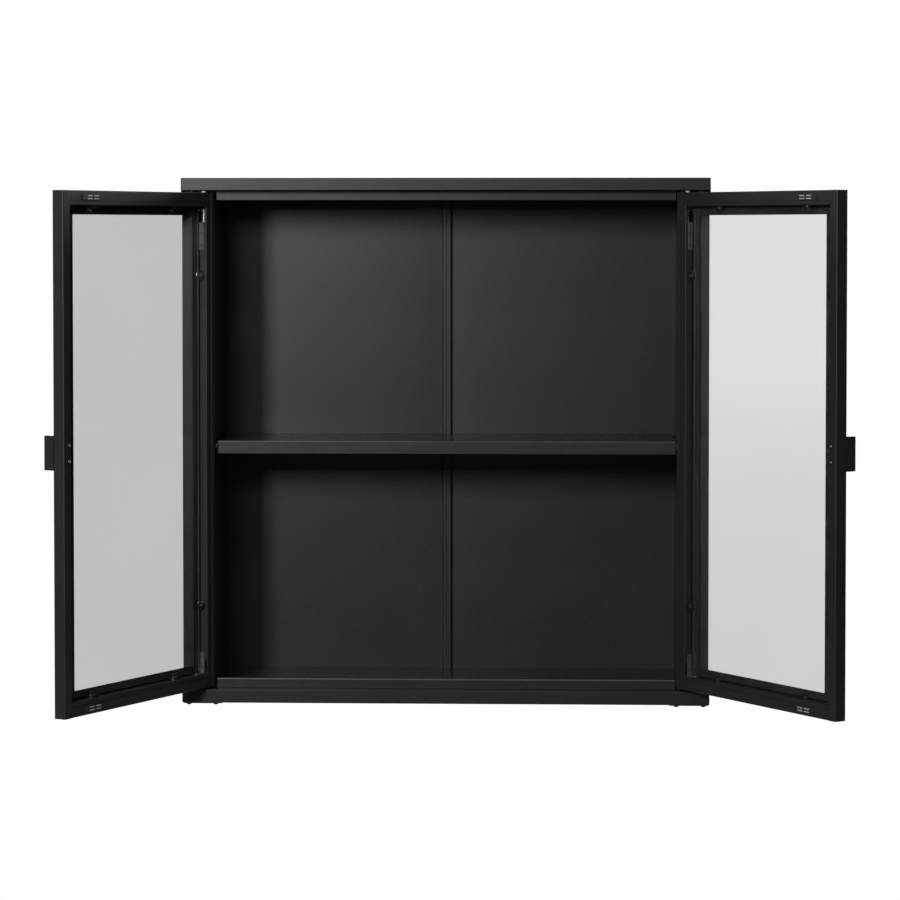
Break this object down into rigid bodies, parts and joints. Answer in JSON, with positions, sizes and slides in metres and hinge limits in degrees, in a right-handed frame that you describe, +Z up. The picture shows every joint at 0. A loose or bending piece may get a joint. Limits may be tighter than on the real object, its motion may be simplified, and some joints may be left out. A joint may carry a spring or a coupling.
{
  "type": "wall mounted showcase",
  "caption": "Shallow wall mounted display case of folded steel with a shelf and inset glazed doors on pivot hinges, shown open.",
  "frame": {"origin": "midpoint between the two wall fixing holes, on the wall plane", "axes": "+X to the right seen from the front, +Y into the wall, +Z up"},
  "size_m": [1.0061, 0.4775, 0.7013],
  "materials": {
    "case_black": "matt black powder coat with a fine grain",
    "interior_black": "matt black powder coat with a fine grain",
    "door_black": "matt black powder coat with a fine grain",
    "glass": "clear flat pane with a faint grey tint",
    "clip_plastic": "moulded black plastic",
    "catch_plastic": "moulded black plastic",
    "bright_steel": "bright drawn steel",
    "zinc_steel": "zinc plated",
    "black_fastener": "blackened steel",
    "bracket_steel": "dark grey coated steel",
    "seal_rubber": "dull black glazing strip",
    "white_nylon": "natural white nylon"
  },
  "bodies": {
    "case": {"back_joint_strip": "interior_black", "back_panel_left": "interior_black", "back_panel_right": "interior_black", "bottom_front_rail": "interior_black", "bottom_panel": "case_black", "bottom_panel_topside": "case_black", "floor_panel": "interior_black", "foot_plates": "case_black", "foot_screws": "black_fastener", "left_side_liner": "interior_black", "left_side_panel": "case_black", "pivot_bushes": "white_nylon", "right_side_liner": "interior_black", "right_side_panel": "case_black", "shelf": "interior_black", "shelf_pins": "zinc_steel", "shelf_underside": "interior_black", "top_front_rail": "interior_black", "top_panel": "case_black", "top_panel_underside": "case_black", "wall_fixing_blocks": "zinc_steel"},
    "left_door": {"left_bottom_hinge_bracket": "bracket_steel", "left_bottom_pivot_pin": "zinc_steel", "left_bottom_rail": "door_black", "left_bracket_rivets": "black_fastener", "left_clip_screws": "black_fastener", "left_free_stile": "door_black", "left_glass": "glass", "left_glass_clip_tongues": "bright_steel", "left_glass_clips": "clip_plastic", "left_glazing_strips": "seal_rubber", "left_handle_screws": "zinc_steel", "left_handle_tab": "door_black", "left_hinge_stile": "door_black", "left_magnet_housings": "catch_plastic", "left_magnet_poles": "bright_steel", "left_top_hinge_bracket": "bracket_steel", "left_top_pin_spring": "bright_steel", "left_top_rail": "door_black"},
    "right_door": {"right_bottom_hinge_bracket": "bracket_steel", "right_bottom_pivot_pin": "zinc_steel", "right_bottom_rail": "door_black", "right_bracket_rivets": "black_fastener", "right_clip_screws": "black_fastener", "right_free_stile": "door_black", "right_glass": "glass", "right_glass_clip_tongues": "bright_steel", "right_glass_clips": "clip_plastic", "right_glazing_strips": "seal_rubber", "right_handle_screws": "zinc_steel", "right_handle_tab": "door_black", "right_hinge_stile": "door_black", "right_magnet_housings": "catch_plastic", "right_magnet_poles": "bright_steel", "right_top_hinge_bracket": "bracket_steel", "right_top_pin_spring": "bright_steel", "right_top_rail": "door_black"},
    "left_pin": {"left_top_pivot_pin": "zinc_steel"},
    "right_pin": {"right_top_pivot_pin": "zinc_steel"}
  },
  "joints": [
    {"name": "left_door_hinge", "type": "hinge", "parent": "case", "child": "left_door", "pos_m": [-0.32, -0.192, 0], "axis": [0, 0, 1], "range_deg": [-6.5, 117.85]},
    {"name": "right_door_hinge", "type": "hinge", "parent": "case", "child": "right_door", "pos_m": [0.32, -0.192, 0], "axis": [0, 0, 1], "range_deg": [-124.35, 0]},
    {"name": "left_top_pin_slide", "type": "slide", "parent": "left_door", "child": "left_pin", "axis": [0, 0, -1], "range_m": [0, 0.007], "stiffness_N_per_m": 300, "springref_m": -0.004, "deforming": ["left_top_pin_spring"]},
    {"name": "right_top_pin_slide", "type": "slide", "parent": "right_door", "child": "right_pin", "axis": [0, 0, -1], "range_m": [0, 0.007], "stiffness_N_per_m": 300, "springref_m": -0.004, "deforming": ["right_top_pin_spring"]}
  ]
}
